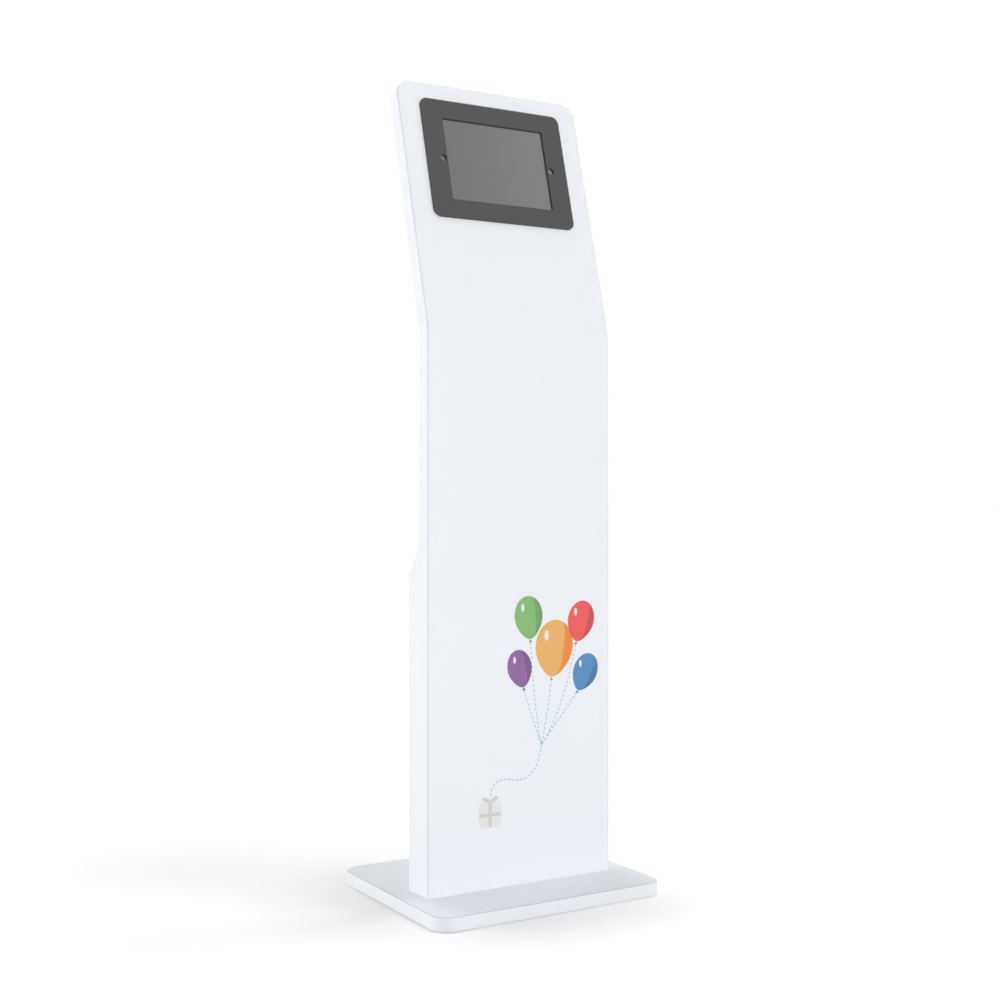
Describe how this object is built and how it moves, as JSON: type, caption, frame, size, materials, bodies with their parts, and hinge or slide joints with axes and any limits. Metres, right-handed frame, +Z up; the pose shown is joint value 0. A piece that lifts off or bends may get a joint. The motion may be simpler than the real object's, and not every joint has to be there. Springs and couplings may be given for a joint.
{
  "type": "tablet security kiosk stand",
  "caption": "Free-standing steel kiosk with a leaning head that locks a tablet behind a bezel, a slim tower with a locking cable cabinet at its foot, and a weighted base.",
  "frame": {"origin": "on the floor under the middle of the base", "axes": "+Z up; -Y is the front, the way the screen faces; the head leans back towards +Y"},
  "size_m": [0.436, 0.36, 1.3868],
  "materials": {
    "white_paint": "satin powder coat",
    "black_paint": "matt powder coat",
    "zinc_steel": "zinc plated",
    "ballast_steel": "mill finish",
    "black_rubber": "matt",
    "black_foam": "closed-cell foam",
    "tablet_aluminium": "bead blasted",
    "tablet_glass": "dark screen, polished, low-glare coated",
    "lens_glass": "polished",
    "button_plastic": "polished",
    "lock_chrome": "polished"
  },
  "bodies": {
    "root": {"base_cover": "white_paint", "ballast_plate": "ballast_steel", "rubber_feet": "black_rubber", "foot_screws": "zinc_steel", "tower_bolts": "zinc_steel", "foot_bracket": "zinc_steel", "front_panel": "white_paint", "head_panel": "white_paint", "left_side_wall": "white_paint", "right_side_wall": "white_paint", "left_rear_frame": "white_paint", "right_rear_frame": "white_paint", "top_band": "white_paint", "fold_rail": "white_paint", "cabinet_rail": "white_paint", "back_panel": "white_paint", "back_panel_screws": "zinc_steel", "bezel": "black_paint", "bezel_studs": "zinc_steel", "stud_spacers": "zinc_steel", "stud_nuts": "zinc_steel", "clamp_plate": "zinc_steel", "foam_pads": "black_foam", "tablet_shell": "tablet_aluminium", "tablet_glass": "tablet_glass", "camera_lens": "lens_glass", "head_frame_leaves": "zinc_steel", "head_hinge_pins": "zinc_steel", "head_lock_keeper": "zinc_steel", "cabinet_frame_leaves": "zinc_steel", "cabinet_hinge_pins": "zinc_steel", "cabinet_lock_keeper": "zinc_steel"},
    "home_button": {"home_button": "button_plastic"},
    "head_door": {"head_door": "white_paint", "head_door_leaves": "zinc_steel", "head_lock_housing": "lock_chrome", "head_lock_nut": "zinc_steel"},
    "head_lock": {"head_lock_plug": "lock_chrome", "head_lock_cam": "zinc_steel"},
    "cabinet_door": {"cabinet_door": "white_paint", "cable_notch_trim": "black_rubber", "cabinet_door_leaves": "zinc_steel", "cabinet_lock_housing": "lock_chrome", "cabinet_lock_nut": "zinc_steel"},
    "cabinet_lock": {"cabinet_lock_plug": "lock_chrome", "cabinet_lock_cam": "zinc_steel"}
  },
  "joints": [
    {"name": "home_button_press", "type": "slide", "parent": "root", "child": "home_button", "axis": [0, 0.9659, -0.2588], "range_m": [0, 0.0004], "stiffness_N_per_m": 1500},
    {"name": "head_door_hinge", "type": "hinge", "parent": "root", "child": "head_door", "pos_m": [-0.16925, 0.01911, 1.16038], "axis": [0, 0.2588, 0.9659], "range_deg": [0, 105]},
    {"name": "head_lock_turn", "type": "hinge", "parent": "head_door", "child": "head_lock", "pos_m": [0.1445, -0.00268, 1.09375], "axis": [0, -0.9659, 0.2588], "range_deg": [0, 90]},
    {"name": "cabinet_door_hinge", "type": "hinge", "parent": "root", "child": "cabinet_door", "pos_m": [-0.16925, -0.0007, 0.2735], "axis": [0, 0, 1], "range_deg": [0, 110]},
    {"name": "cabinet_lock_turn", "type": "hinge", "parent": "cabinet_door", "child": "cabinet_lock", "pos_m": [0.1445, -0.0045, 0.2835], "axis": [0, -1, 0], "range_deg": [0, 90]}
  ]
}
